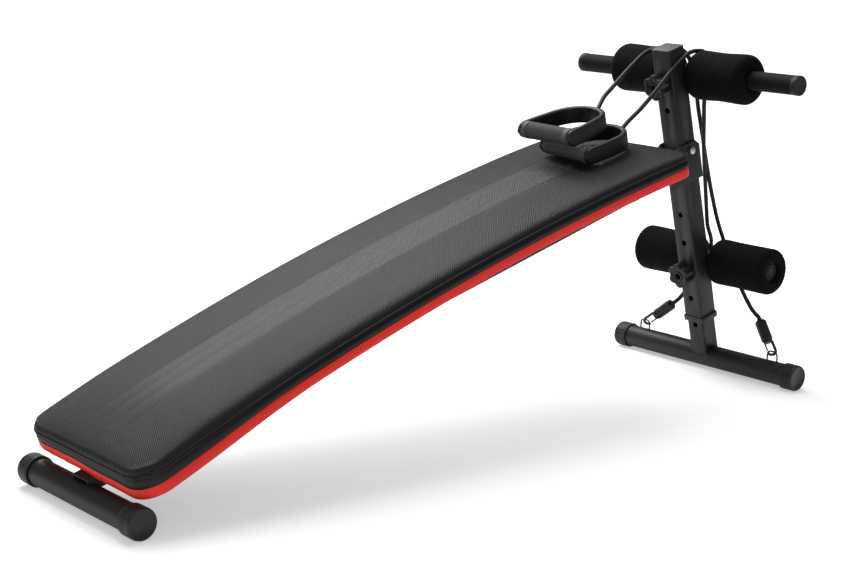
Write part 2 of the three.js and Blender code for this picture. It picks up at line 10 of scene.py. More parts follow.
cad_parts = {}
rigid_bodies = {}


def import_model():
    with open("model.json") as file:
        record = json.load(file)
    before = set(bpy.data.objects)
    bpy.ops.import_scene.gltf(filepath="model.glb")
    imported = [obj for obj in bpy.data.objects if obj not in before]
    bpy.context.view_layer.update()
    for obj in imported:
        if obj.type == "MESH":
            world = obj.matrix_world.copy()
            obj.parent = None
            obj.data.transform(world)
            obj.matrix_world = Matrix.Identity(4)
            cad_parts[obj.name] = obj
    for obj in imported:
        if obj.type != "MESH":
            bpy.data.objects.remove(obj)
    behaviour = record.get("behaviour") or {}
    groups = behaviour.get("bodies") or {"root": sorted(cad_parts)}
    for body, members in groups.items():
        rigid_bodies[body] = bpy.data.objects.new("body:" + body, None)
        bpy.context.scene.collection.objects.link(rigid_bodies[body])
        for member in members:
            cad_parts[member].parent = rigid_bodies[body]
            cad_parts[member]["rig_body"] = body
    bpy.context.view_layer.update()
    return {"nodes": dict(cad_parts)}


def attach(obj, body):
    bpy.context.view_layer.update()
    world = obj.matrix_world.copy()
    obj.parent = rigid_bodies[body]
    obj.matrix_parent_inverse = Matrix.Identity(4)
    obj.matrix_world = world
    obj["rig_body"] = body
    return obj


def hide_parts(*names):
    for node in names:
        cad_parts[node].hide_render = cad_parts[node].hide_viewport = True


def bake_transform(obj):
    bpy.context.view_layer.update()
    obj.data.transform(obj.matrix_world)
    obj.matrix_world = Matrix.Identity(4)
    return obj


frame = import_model()

# ---- driving sizes, the same as the CAD's ----
FRONT_Y = -0.655
REAR_Y = 0.647
CAP_R = 0.023
FOOT_R = 0.020
AXIS_Z = CAP_R * math.cos(math.pi / 32)
FRONT_HALF = 0.1472
REAR_HALF = 0.2082
CAP_LENGTH = 0.0268
LEAN = math.radians(15.34)
UPPER_S = 0.530
LOWER_S = 0.177
BAR_BACK = 0.039
BAR_R = 0.0164
CORD_R = 0.00375
HALF_WIDTH = 0.150
BOARD_LENGTH = 1.111
FRONT_CORNER = 0.040
REAR_CORNER = 0.028
ARC_R = 5.318
ARC_Y = 1.508
ARC_Z = -4.805
ARC_START = math.radians(23.94)

POST = Matrix.Translation((0, REAR_Y, AXIS_Z)) @ Matrix.Rotation(LEAN, 4, "X")


def add_object(name, data):
    """A new object in the scene."""
    made = bpy.data.objects.new(name, data)
    bpy.context.collection.objects.link(made)
    return made


# ---- camera, at the photograph's angle ----
CAMERA = {"place": (1.947564, -1.774800, 0.801094), "yaw": 0.84545, "pitch": 0.21668, "roll": 0.02708,
          "focal": 72.37}


def look_from(place, yaw, pitch, roll, focal):
    """A camera turned by yaw, then tilted down by pitch and rolled; angles in radians, focal length in mm."""
    level_reach = math.cos(pitch)
    forward = Vector((-math.sin(yaw) * level_reach, math.cos(yaw) * level_reach, -math.sin(pitch)))
    level = forward.cross(Vector((0, 0, 1))).normalized()
    upright = level.cross(forward)
    right = level * math.cos(roll) + upright * math.sin(roll)
    up = upright * math.cos(roll) - level * math.sin(roll)
    data = bpy.data.cameras.new("camera")
    data.lens = focal
    data.sensor_width = 36
    data.clip_end = 100
    camera = add_object("camera", data)
    camera.matrix_world = Matrix((
        (right.x, up.x, -forward.x, place[0]),
        (right.y, up.y, -forward.y, place[1]),
        (right.z, up.z, -forward.z, place[2]),
        (0, 0, 0, 1),
    ))
    bpy.context.scene.camera = camera


look_from(**CAMERA)


# ---- materials ----
MOTTLE_SCALE = 60
MOTTLE_DETAIL = 5
GRAIN_DETAIL = 3
RIB_PITCH = 0.0027
RIB_TURN = math.radians(-48.5)
WAVE_UNITS = 20  # a wave texture of scale 1 has 20 / (2 pi) ridges per unit
SHINY_HALF_WIDTH = (0.0395, 0.0370)
SHINY_FROM = (-0.60, -0.50)
PAD_SPECULAR = (0.23, 0.46)


def shader(name, color, roughness, metallic=0.0, specular=0.5, bump=(), mottle=0.0):
    """A Principled material. bump holds (texture scale, height in metres) pairs; mottle varies the colour."""
    material = bpy.data.materials.new(name)
    material.use_nodes = True
    nodes = material.node_tree.nodes
    links = material.node_tree.links
    surface = nodes["Principled BSDF"]
    surface.inputs["Base Color"].default_value = (*color, 1)
    surface.inputs["Roughness"].default_value = roughness
    surface.inputs["Metallic"].default_value = metallic
    surface.inputs["Specular IOR Level"].default_value = specular
    place = nodes.new("ShaderNodeTexCoord")
    if mottle:
        noise = nodes.new("ShaderNodeTexNoise")
        noise.inputs["Scale"].default_value = MOTTLE_SCALE
        noise.inputs["Detail"].default_value = MOTTLE_DETAIL
        links.new(place.outputs["Object"], noise.inputs["Vector"])
        mix = nodes.new("ShaderNodeMix")
        mix.data_type = "RGBA"
        mix.inputs["A"].default_value = (*[c * (1 - mottle) for c in color], 1)
        mix.inputs["B"].default_value = (*[min(1, c * (1 + mottle)) for c in color], 1)
        links.new(noise.outputs["Fac"], mix.inputs["Factor"])
        links.new(mix.outputs["Result"], surface.inputs["Base Color"])
    last = None
    for scale, height in bump:
        grain = nodes.new("ShaderNodeTexNoise")
        grain.inputs["Scale"].default_value = scale
        grain.inputs["Detail"].default_value = GRAIN_DETAIL
        links.new(place.outputs["Object"], grain.inputs["Vector"])
        raised = nodes.new("ShaderNodeBump")
        raised.inputs["Strength"].default_value = 1
        raised.inputs["Distance"].default_value = height
        links.new(grain.outputs["Fac"], raised.inputs["Height"])
        if last:
            links.new(last.outputs["Normal"], raised.inputs["Normal"])
        last = raised
    if last:
        links.new(last.outputs["Normal"], surface.inputs["Normal"])
    return material


def remap(nodes, links, value, source, target, interpolation="LINEAR"):
    """A value mapped, and clamped, from one range to another."""
    scale = nodes.new("ShaderNodeMapRange")
    scale.interpolation_type = interpolation
    scale.inputs["From Min"].default_value, scale.inputs["From Max"].default_value = source
    scale.inputs["To Min"].default_value, scale.inputs["To Max"].default_value = target
    links.new(value, scale.inputs["Value"])
    return scale.outputs["Result"]


def embossed_vinyl():
    """Dark grey vinyl with fine slanting ribs broken into short cells, as on a carbon pattern."""
    material = shader("pad_vinyl", (0.0125, 0.0125, 0.0128), 0.47, specular=0.22, mottle=0.12)
    nodes = material.node_tree.nodes
    links = material.node_tree.links
    surface = nodes["Principled BSDF"]
    place = nodes.new("ShaderNodeTexCoord")
    turn = nodes.new("ShaderNodeMapping")
    turn.inputs["Rotation"].default_value = (0, 0, RIB_TURN)
    links.new(place.outputs["Object"], turn.inputs["Vector"])
    ribs = nodes.new("ShaderNodeTexWave")
    ribs.inputs["Scale"].default_value = 2 * math.pi / (WAVE_UNITS * RIB_PITCH)
    ribs.inputs["Distortion"].default_value = 0.4
    ribs.inputs["Detail Scale"].default_value = 40
    links.new(turn.outputs["Vector"], ribs.inputs["Vector"])
    cells = nodes.new("ShaderNodeTexBrick")
    cells.inputs["Scale"].default_value = 1
    cells.inputs["Brick Width"].default_value = 2 * RIB_PITCH
    cells.inputs["Row Height"].default_value = RIB_PITCH
    cells.inputs["Mortar Size"].default_value = 0.0004
    links.new(turn.outputs["Vector"], cells.inputs["Vector"])
    height = nodes.new("ShaderNodeMath")
    height.operation = "MULTIPLY_ADD"
    height.inputs[1].default_value = 0.7
    links.new(ribs.outputs["Fac"], height.inputs[0])
    links.new(cells.outputs["Fac"], height.inputs[2])
    split = nodes.new("ShaderNodeSeparateXYZ")
    links.new(place.outputs["Object"], split.inputs["Vector"])
    aside = nodes.new("ShaderNodeMath")
    aside.operation = "ABSOLUTE"
    links.new(split.outputs["X"], aside.inputs[0])
    inside = remap(nodes, links, aside.outputs["Value"], SHINY_HALF_WIDTH, (0, 1))
    behind = remap(nodes, links, split.outputs["Y"], SHINY_FROM, (0, 1))
    shine = nodes.new("ShaderNodeMath")
    shine.operation = "MULTIPLY"
    links.new(inside, shine.inputs[0])
    links.new(behind, shine.inputs[1])
    specular = remap(nodes, links, shine.outputs["Value"], (0, 1), PAD_SPECULAR)
    links.new(specular, surface.inputs["Specular IOR Level"])
    raised = nodes.new("ShaderNodeBump")
    raised.inputs["Strength"].default_value = 0.9
    raised.inputs["Distance"].default_value = 0.0008
    links.new(height.outputs["Value"], raised.inputs["Height"])
    links.new(raised.outputs["Normal"], surface.inputs["Normal"])
    return material


def without_bounce(material, bounced):
    """Keeps a strong colour from tinting the white floor."""
    nodes, links = material.node_tree.nodes, material.node_tree.links
    surface = nodes["Principled BSDF"]
    base = surface.inputs["Base Color"].links[0].from_socket
    rays = nodes.new("ShaderNodeLightPath")
    pick = nodes.new("ShaderNodeMix")
    pick.data_type = "RGBA"
    links.new(rays.outputs["Is Diffuse Ray"], pick.inputs["Factor"])
    links.new(base, pick.inputs["A"])
    pick.inputs["B"].default_value = (*bounced, 1)
    links.new(pick.outputs["Result"], surface.inputs["Base Color"])


PAINT = shader("charcoal_enamel", (0.016, 0.016, 0.0165), 0.48, specular=0.36, bump=[(900, 0.00006)],
               mottle=0.08)
CAP_PLASTIC = shader("cap_plastic", (0.012, 0.012, 0.0125), 0.42, specular=0.45, bump=[(700, 0.00008)],
                     mottle=0.1)
KNOB_PLASTIC = shader("knob_plastic", (0.010, 0.010, 0.0105), 0.45, specular=0.3, bump=[(500, 0.00006)])
LIGHT_CAP = shader("light_cap", (0.075, 0.075, 0.077), 0.5, bump=[(400, 0.00005)])
BAR_RUBBER = shader("bar_rubber", (0.005, 0.005, 0.0052), 0.7, specular=0.15, bump=[(600, 0.00012)],
                    mottle=0.15)
END_PLASTIC = shader("bar_end_plastic", (0.013, 0.013, 0.0132), 0.55, specular=0.3, bump=[(600, 0.0001)])
FOAM = shader("foam_rubber", (0.0035, 0.0035, 0.0036), 0.95, specular=0.12,
              bump=[(260, 0.0006), (1200, 0.0004)], mottle=0.35)
BAND_VINYL = shader("band_vinyl", (0.0075, 0.0078, 0.008), 0.5, specular=0.3,
                    bump=[(600, 0.00015), (90, 0.0005)])
PAD_VINYL = embossed_vinyl()
RED_VINYL = shader("red_vinyl", (0.84, 0.030, 0.018), 0.5, specular=0.3,
                   bump=[(500, 0.00012), (60, 0.0006)], mottle=0.06)
without_bounce(RED_VINYL, (0.05, 0.03, 0.03))
BACKING = shader("backing_board", (0.008, 0.008, 0.008), 0.8, specular=0.2, bump=[(300, 0.0002)])
ZINC = shader("zinc", (0.55, 0.56, 0.58), 0.32, metallic=1, bump=[(800, 0.00003)])
BLACK_STEEL = shader("black_steel", (0.010, 0.010, 0.011), 0.35, specular=0.6, bump=[(700, 0.00003)])
CORD_RUBBER = shader("cord_rubber", (0.012, 0.012, 0.0125), 0.5, specular=0.35, bump=[(900, 0.00006)])
HANDLE_PLASTIC = shader("handle_plastic", (0.008, 0.008, 0.0083), 0.45, specular=0.45,
                        bump=[(500, 0.00008)], mottle=0.08)
GRIP_RUBBER = shader("grip_rubber", (0.080, 0.080, 0.082), 0.6, specular=0.5, bump=[(500, 0.0001)])


# ---- mesh helpers ----
def piece(name, vertices, faces, material, body, replaced=(), sharp=40):
    """A smooth-shaded mesh that rides on a CAD body and stands for some CAD nodes."""
    mesh = bpy.data.meshes.new(name)
    mesh.from_pydata([tuple(v) for v in vertices], [], faces)
    mesh.update()
    tidy = bmesh.new()
    tidy.from_mesh(mesh)
    bmesh.ops.recalc_face_normals(tidy, faces=tidy.faces)
    tidy.to_mesh(mesh)
    tidy.free()
    mesh.shade_smooth()
    mesh.set_sharp_from_angle(angle=math.radians(sharp))
    mesh.materials.append(material)
    made = add_object(name, mesh)
    if replaced:
        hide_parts(*replaced)
    if body:
        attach(made, body)
    return made


def rings_to_faces(rings, size, closed_loop=False):
    """Quads between successive rings of `size` points each."""
    faces = []
    count = rings if closed_loop else rings - 1
    for i in range(count):
        a = i * size
        b = ((i + 1) % rings) * size
        for j in range(size):
            k = (j + 1) % size
            faces.append((a + j, a + k, b + k, b + j))
    return faces


def lathe(name, profile, placing, material, body, replaced=(), segments=64, closed=False, shape=None,
          sharp=40):
    """Turns (distance along X, radius) pairs round the X axis of `placing`.

    shape(angle, x) scales the radius.
    """
    vertices = []
    for x, radius in profile:
        for j in range(segments):
            angle = 2 * math.pi * (j + 0.5) / segments
            r = max(radius, 1e-5) * (shape(angle, x) if shape else 1)
            vertices.append(placing @ Vector((x, r * math.cos(angle), r * math.sin(angle))))
    faces = rings_to_faces(len(profile), segments, closed)
    if not closed:
        faces.append(tuple(range(segments)))
        last = (len(profile) - 1) * segments
        faces.append(tuple(range(last, last + segments)))
    return piece(name, vertices, faces, material, body, replaced, sharp)


def arc(centre_x, centre_r, radius, start, end, steps):
    """Profile points of a round corner; angles in degrees from the X axis towards the radius."""
    points = []
    for i in range(steps + 1):
        angle = math.radians(start + (end - start) * i / steps)
        points.append((centre_x + radius * math.cos(angle), centre_r + radius * math.sin(angle)))
    return points


def smooth_route(points, spacing):
    """Points along the centripetal Catmull-Rom curve that the CAD's tubes follow."""
    p = [np.array(v, float) for v in points]
    p = [2 * p[0] - p[1], *p, 2 * p[-1] - p[-2]]
    out = []
    for i in range(1, len(p) - 2):
        gaps = [max(np.linalg.norm(p[i + k] - p[i + k - 1]) ** 0.5, 1e-6) for k in (0, 1, 2)]
        before, across, after = p[i] - p[i - 1], p[i + 1] - p[i], p[i + 2] - p[i + 1]
        t1 = before / gaps[0] - (p[i + 1] - p[i - 1]) / (gaps[0] + gaps[1]) + across / gaps[1]
        t2 = across / gaps[1] - (p[i + 2] - p[i]) / (gaps[1] + gaps[2]) + after / gaps[2]
        t1, t2 = t1 * gaps[1], t2 * gaps[1]
        steps = max(2, int(np.linalg.norm(p[i + 1] - p[i]) / spacing))
        for s in np.linspace(0, 1, steps, endpoint=False):
            c2 = -3 * p[i] + 3 * p[i + 1] - 2 * t1 - t2
            c3 = 2 * p[i] - 2 * p[i + 1] + t1 + t2
            out.append(p[i] + t1 * s + c2 * s * s + c3 * s ** 3)
    out.append(p[-2])
    return [Vector(v) for v in out]


def tube_mesh(path, radius, sides):
    """Vertices and faces of a round tube with flat ends along a path."""
    tangents = []
    for i in range(len(path)):
        tangents.append((path[min(i + 1, len(path) - 1)] - path[max(i - 1, 0)]).normalized())
    across = tangents[0].orthogonal().normalized()
    vertices = []
    for point, tangent in zip(path, tangents):
        across = (across - tangent * across.dot(tangent)).normalized()
        other = tangent.cross(across)
        for j in range(sides):
            angle = 2 * math.pi * j / sides
            vertices.append(point + radius * (math.cos(angle) * across + math.sin(angle) * other))
    faces = rings_to_faces(len(path), sides)
    faces.append(tuple(range(sides)))
    last = (len(path) - 1) * sides
    faces.append(tuple(range(last, last + sides)))
    return vertices, faces


def tube(name, path, radius, material, body, replaced=(), sides=16):
    vertices, faces = tube_mesh(path, radius, sides)
    return piece(name, vertices, faces, material, body, replaced, sharp=60)


def refined(node, material, bevel=0.0004):
    """A copy of a CAD piece with merged flats, softened edges and smooth round corners."""
    source = frame["nodes"][node]
    shape = bmesh.new()
    shape.from_mesh(source.data)
    bmesh.ops.remove_doubles(shape, verts=shape.verts, dist=1e-6)
    bmesh.ops.dissolve_limit(shape, angle_limit=math.radians(0.5), verts=shape.verts, edges=shape.edges)
    crisp = [e for e in shape.edges if len(e.link_faces) == 2 and e.calc_face_angle() > math.radians(45)]
    bmesh.ops.bevel(shape, geom=crisp, offset=bevel, segments=2, profile=0.5, affect="EDGES",
                    clamp_overlap=True)
    bmesh.ops.triangulate(shape, faces=[f for f in shape.faces if len(f.verts) > 4])
    mesh = bpy.data.meshes.new(f"{node}_skin")
    shape.to_mesh(mesh)
    shape.free()
    mesh.shade_smooth()
    mesh.set_sharp_from_angle(angle=math.radians(38))
    mesh.materials.append(material)
    made = add_object(f"{node}_skin", mesh)
    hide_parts(node)
    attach(made, source["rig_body"])
    return made


# ---- cords: the same routes as the CAD's, in metres ----
CORD_ROUTES = {
    "cord_a_front": [
        (-0.0127, 0.3296, 0.4842), (-0.0127, 0.333, 0.4852), (-0.0155, 0.341, 0.4915),
        (-0.025, 0.365, 0.5093), (-0.03, 0.385, 0.5201), (-0.036, 0.425, 0.545), (-0.04, 0.455, 0.563),
        (-0.041, 0.485, 0.58), (-0.032, 0.507, 0.587), (-0.025, 0.534, 0.585), (-0.0245, 0.5446, 0.585),
    ],
    "cord_b_front": [
        (0.0185, 0.356, 0.4555), (0.019, 0.3594, 0.4565), (0.019, 0.368, 0.4625),
        (0.0176, 0.381, 0.4714), (0.016, 0.397, 0.4803), (0.0151, 0.4115, 0.489), (0.02, 0.431, 0.5087),
        (0.024, 0.45, 0.5285), (0.026, 0.471, 0.55), (0.026, 0.503, 0.574), (0.025, 0.518, 0.5815),
        (0.0245, 0.534, 0.585), (0.0245, 0.5446, 0.585),
    ],
    "cord_a_rear": [
        (-0.0245, 0.5454, 0.585), (-0.0245, 0.556, 0.584), (-0.024, 0.574, 0.573),
        (-0.018, 0.585, 0.546), (-0.0072, 0.593, 0.477), (-0.0071, 0.606, 0.437),
        (-0.0086, 0.624, 0.3852), (-0.0093, 0.648, 0.3195), (-0.0092, 0.67, 0.2676),
        (-0.004, 0.682, 0.235), (0.004, 0.686, 0.211), (0.0154, 0.686, 0.1916), (0.0299, 0.683, 0.172),
        (0.0475, 0.679, 0.1513), (0.0627, 0.675, 0.136), (0.0812, 0.67, 0.1205), (0.093, 0.6664, 0.1146),
        (0.1011, 0.6643, 0.111), (0.1035, 0.6635, 0.1084),
    ],
    "cord_b_rear": [
        (0.0245, 0.5454, 0.585), (0.0245, 0.556, 0.584), (0.024, 0.574, 0.573), (0.018, 0.585, 0.546),
        (0.009, 0.588, 0.5), (0.0058, 0.594, 0.458), (0.001, 0.603, 0.418), (-0.0109, 0.627, 0.3537),
        (-0.0177, 0.644, 0.3), (-0.0232, 0.658, 0.261), (-0.0282, 0.677, 0.232), (-0.035, 0.685, 0.208),
        (-0.048, 0.686, 0.1847), (-0.0617, 0.681, 0.1561), (-0.0743, 0.675, 0.1335),
        (-0.0835, 0.668, 0.115), (-0.0912, 0.6628, 0.1047), (-0.0938, 0.6619, 0.1024),
    ],
}


def add_cord(name):
    """An elastic cord: a round tube along its route that stands for the CAD cord and rides on no body."""
    route = CORD_ROUTES[name]
    path = smooth_route(route, 0.004)
    if name.endswith("rear"):
        path = path[::-1]
    cord = tube(f"{name}_tube", path, CORD_R, CORD_RUBBER, None, [name], sides=16)
    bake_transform(cord)


add_cord("cord_a_rear")
add_cord("cord_b_rear")
add_cord("cord_a_front")
add_cord("cord_b_front")


# ---- feet ----
FOOT_WALL = 0.002
CAP_FLOOR = 0.0035
CAP_BORE = 0.0203
CAP_RIBS = 48
RIB_DEPTH = 0.030


def ribbed(angle):
    """Fine grooves round a cap's grip, as a scale on its radius."""
    return 1 - RIB_DEPTH * max(0.0, math.cos(CAP_RIBS * angle)) ** 2


def cap_profile(half):
    """Half section of a cup cap, from the bore's floor round the mouth and the rim to its dished end."""
    mouth = half - CAP_LENGTH
    face = half - CAP_FLOOR
    profile = [(face, CAP_BORE), (mouth + 0.0005, CAP_BORE), (mouth, CAP_BORE + 0.0005),
               (mouth, CAP_R - 0.0004), (mouth + 0.0006, CAP_R)]
    profile += [(mouth + 0.0006 + (face - mouth - 0.0012) * i / 4, CAP_R) for i in range(1, 5)]
    profile += [(half - 0.0040, CAP_R), (half - 0.0036, CAP_R - 0.0005)]
    profile += arc(half - 0.0020, CAP_R - 0.0026, 0.0020, 80, 0, 5)
    profile += [(half, CAP_R - 0.0042), (half - 0.0005, CAP_R - 0.0048), (half - 0.0005, 0), (face, 0)]
    return profile


def foot(place, body, y, half):
    """A foot tube with a ribbed cap on each end."""
    placing = Matrix.Translation((0, y, AXIS_Z))
    reach = half - 0.004
    bore = FOOT_R - FOOT_WALL
    profile = [(-reach, bore), (-reach, FOOT_R), (reach, FOOT_R), (reach, bore)]
    lathe(f"{place}_foot_tube_skin", profile, placing, PAINT, body, [f"{place}_foot_tube"], closed=True)
    first_rib = half - CAP_LENGTH + 0.0004
    last_rib = half - 0.0041

    def shape(angle, x):
        return ribbed(angle) if first_rib < abs(x) < last_rib else 1

    for side, sign in (("right", 1), ("left", -1)):
        cap = [(sign * x, r) for x, r in cap_profile(half)]
        lathe(f"{place}_foot_cap_{side}_skin", cap, placing, CAP_PLASTIC, body,
              [f"{place}_foot_cap_{side}"], segments=360, shape=shape)


foot("front", "board", FRONT_Y, FRONT_HALF)
foot("rear", "base", REAR_Y, REAR_HALF)


# ---- rollers ----
def foam_profile(radius, end, corner, waist):
    """Half section of a foam: soft round ends, a slight waist and a hollow round its bar outside."""
    start = 0.024
    points = [(start + 0.003, 0.0168), (start + 0.0008, 0.0185)]
    points += arc(start + corner, radius - corner, corner, 180, 90, 9)
    for i in range(1, 14):
        t = i / 14
        swell = waist * math.sin(math.pi * t) ** 2 * (1.15 - 0.5 * t)
        points.append((start + corner + (end - start - 2 * corner) * t, radius - swell))
    points += arc(end - corner, radius - corner, corner, 90, 8, 9)
    lip = radius - corner
    points += [(end + 0.0002, lip - 0.001), (end - 0.0002, 0.0225), (end - 0.0012, 0.0198),
               (end - 0.0034, 0.0180), (end - 0.0075, 0.0169)]
    return points


BAR_BORE = 0.0144
PLUG_R = 0.0138
PLUG_DEPTH = 0.009


def end_profile(half, end_r):
    """Half section of a bar end: a disc over the bar's edge, or a smaller plug with a hollow centre."""
    face = half + 0.0018
    over_edge = end_r > BAR_R - 0.001
    shoulder = half - 0.0085 if over_edge else half + 0.0003
    disc = [(half - PLUG_DEPTH, 0), (half - PLUG_DEPTH, PLUG_R), (shoulder, PLUG_R), (shoulder, end_r)]
    if over_edge:
        disc += [(half - 0.0080, end_r + 0.0004), (half - 0.0012, end_r + 0.0004)]
    disc += arc(face - 0.0014, end_r - 0.0010, 0.0014, 90, 0, 5)
    disc += [(face - 0.0003, end_r - 0.0022)]
    if not over_edge:
        disc += [(face - 0.0016, 0.0104), (face - 0.0016, 0.0090), (face, 0.0082)]
    return disc + [(face, 0)]


def roller_set(place, s, half, foam_size, end_r, bar_material):
    """A bar at the distance s up the post, with its two ends and its two foams."""
    placing = POST @ Matrix.Translation((0, BAR_BACK, s))
    profile = [(-half, BAR_BORE), (-half, BAR_R), (half, BAR_R), (half, BAR_BORE)]
    lathe(f"{place}_bar_skin", profile, placing, bar_material, "post", [f"{place}_bar"], closed=True)
    for side, sign in (("right", 1), ("left", -1)):
        end = [(sign * x, r) for x, r in end_profile(half, end_r)]
        lathe(f"{place}_bar_end_{side}_skin", end, placing, END_PLASTIC, "post",
              [f"{place}_bar_end_{side}"])
        body = f"{place}_foam_{side}"

        def uneven(angle, x, phase=s + sign):
            slow = math.sin(2 * angle + 31 * x + phase * 9) * math.sin(52 * x + phase)
            fine = math.sin(5 * angle - 70 * x + phase * 4) * math.sin(110 * x + 3 * phase)
            return 1 + 0.006 * slow + 0.003 * fine

        section = [(sign * x, r) for x, r in foam_profile(*foam_size)]
        foam = lathe(f"{body}_skin", section, placing, FOAM, body, [body], segments=96, closed=True,
                     shape=uneven)


roller_set("top", UPPER_S, 0.2426, (0.0423, 0.146, 0.0145, 0.0013), BAR_R, BAR_RUBBER)
roller_set("lower", LOWER_S, 0.139, (0.0412, 0.147, 0.0095, 0.0006), 0.0134, PAINT)


# ---- star knobs ----
KNOB_LOBES = 6


def knob(place, s):
    """Six round lobes, a rounded rim, a dished front face and an open bolt hole."""
    placing = POST @ Matrix.Translation((0, 0, s)) @ Matrix.Rotation(-math.pi / 2, 4, "Z")
    back, front, rim = 0.0228, 0.0480, 0.0030
    mean, notch = 0.0215, 0.0046
    profile = [(back, 0.0053), (back, 0.0105), (back + 0.0012, 0.0125), (back + 0.0030, 0.0160),
               (back + 0.0050, mean - 0.0012), (back + 0.0068, mean)]
    profile += [(front - rim - 0.006, mean + 0.0001), (front - rim, mean)]
    profile += arc(front - rim, mean - rim, rim, 72, 10, 5)
    profile += [(front - 0.0002, 0.0150), (front - 0.0014, 0.0125), (front - 0.0016, 0.0095),
                (front - 0.0002, 0.0086), (front - 0.0002, 0.0066), (front - 0.0010, 0.0057),
                (front - 0.0060, 0.0053)]
    vertices = []
    segments = 144
    for x, radius in profile:
        weight = min(1, max(0, (radius - 0.0105) / 0.009))
        for j in range(segments):
            angle = 2 * math.pi * j / segments
            dip = (0.5 - 0.5 * math.cos(KNOB_LOBES * (angle + math.pi / 2))) ** 1.7
            r = radius + weight * (0.0017 - notch * dip)
            vertices.append(placing @ Vector((x, r * math.cos(angle), r * math.sin(angle))))
    piece(f"{place}_knob_skin", vertices, rings_to_faces(len(profile), segments, True), KNOB_PLASTIC,
          f"{place}_knob", [f"{place}_knob"], sharp=45)


knob("top", UPPER_S)
knob("lower", LOWER_S)


# ---- the curved board ----
def on_arc(x, y, h):
    """A point of the board: x across, y along its underside from the front, h above it."""
    angle = ARC_START - y / ARC_R
    radius = ARC_R + h
    return Vector((x, ARC_Y - radius * math.sin(angle), ARC_Z + radius * math.cos(angle)))


def edge_distance(x, y):
    """How far inside the board's rounded outline a point lies."""
    middle = BOARD_LENGTH / 2
    corner = FRONT_CORNER if y < middle else REAR_CORNER
    qx = abs(x) - (HALF_WIDTH - corner)
    qy = abs(y - middle) - (middle - corner)
    outside = math.hypot(max(qx, 0), max(qy, 0))
    return corner - outside - min(max(qx, qy), 0)


def half_width(y):
    """Half the board's width at y, less in the round corners."""
    for corner, inset in ((FRONT_CORNER, y), (REAR_CORNER, BOARD_LENGTH - y)):
        if inset < corner:
            return HALF_WIDTH - corner + math.sqrt(max(corner ** 2 - (corner - inset) ** 2, 0))
    return HALF_WIDTH


def ease(value, low, high):
    t = min(1, max(0, (value - low) / (high - low)))
    return t * t * (3 - 2 * t)


def sag(x, y):
    """The loose cover hangs lower round the front right corner."""
    front = 1 - ease(y, 0.06, 0.30)
    step = 0.0022 * ease(x, -0.060, -0.050)
    return front * (step + 0.0058 * ease(x, -0.05, 0.10) + 0.0008 * math.sin(60 * x))


def channel(x, y):
    """Three quilted bands along the middle of the pad."""
    fade = ease(y, 0.03, 0.12) * (1 - ease(y, 1.00, 1.06))
    lines = sum(math.exp(-(((abs(x) - at) / 0.0024) ** 2)) for at in (0.013, 0.039))
    puff = 0.0007 * abs(math.cos(math.pi * x / 0.026)) ** 0.8 if abs(x) < 0.039 else 0
    return fade * (puff - 0.0004 * lines)


def gathers(x, y):
    """Small pleats where the cover is pulled round a corner."""
    middle = BOARD_LENGTH / 2
    corner = FRONT_CORNER if y < middle else REAR_CORNER
    cx = HALF_WIDTH - corner
    cy = corner if y < middle else BOARD_LENGTH - corner
    dx = abs(x) - cx
    dy = (cy - y) if y < middle else (y - cy)
    if dx <= 0 or dy <= 0:
        return 0
    angle = math.atan2(dy, dx)
    away = math.hypot(dx, dy) / corner
    return 0.0008 * ease(away, 0.45, 0.95) * math.sin(angle * 14 + x * 90) * math.sin(2 * angle) ** 2


EDGE_H = 0.0305
CROWN_H = 0.0505
RISE = [(0, 0), (0.001, 0.15), (0.003, 0.36), (0.007, 0.52), (0.012, 0.64), (0.024, 0.75), (0.042, 0.855),
        (0.066, 0.92), (0.090, 0.96), (0.130, 0.99), (0.150, 1)]


def rise(distance):
    """Share of the pad's crown reached at a distance from its edge."""
    return float(np.interp(distance, [d for d, _ in RISE], [v for _, v in RISE]))


def top_height(x, y):
    """Height of the pad's upper surface above the board's underside."""
    d = max(0, edge_distance(x, y))
    if d <= 0:
        return EDGE_H
    product = rise(HALF_WIDTH - abs(x)) * rise(min(y, BOARD_LENGTH - y))
    share = (product ** -6 + rise(d) ** -6) ** (-1 / 6) if product > 0 else 0
    share = min(1, share * 1.01)
    low_front = 0.0026 * (1 - ease(y, 0.03, 0.14)) * ease(d, 0, 0.012)
    fuller = 0.0012 * ease(-x, 0.02, 0.12) * ease(y, 0.25, 0.55) * (1 - ease(y, 0.95, 1.05))
    lift = fuller * ease(d, 0, 0.02)
    return EDGE_H + (CROWN_H - EDGE_H) * share - low_front + lift + channel(x, y) + gathers(x, y)


def spread(values):
    """The values and their mirror images, in order."""
    return sorted({round(sign * v, 6) for v in values for sign in (1, -1)})


ACROSS = spread([0, 0.0045, 0.009, 0.011, 0.013, 0.015, 0.017, 0.0215, 0.026, 0.031, 0.035, 0.037, 0.039,
                 0.041, 0.043, 0.049, 0.0528, 0.055, 0.0572, 0.062, 0.072, 0.084, 0.096, 0.107, 0.116,
                 0.124, 0.131, 0.136, 0.140, 0.1435, 0.1462, 0.1482, 0.1494, 0.150])
NEAR_END = [0, 0.0008, 0.0022, 0.0042, 0.007, 0.0105, 0.0145, 0.019, 0.024, 0.030, 0.037, 0.045, 0.054]
MIDDLE = list(np.linspace(0.064, BOARD_LENGTH - 0.064, 96))
ALONG = NEAR_END + MIDDLE + [BOARD_LENGTH - v for v in NEAR_END[::-1]]


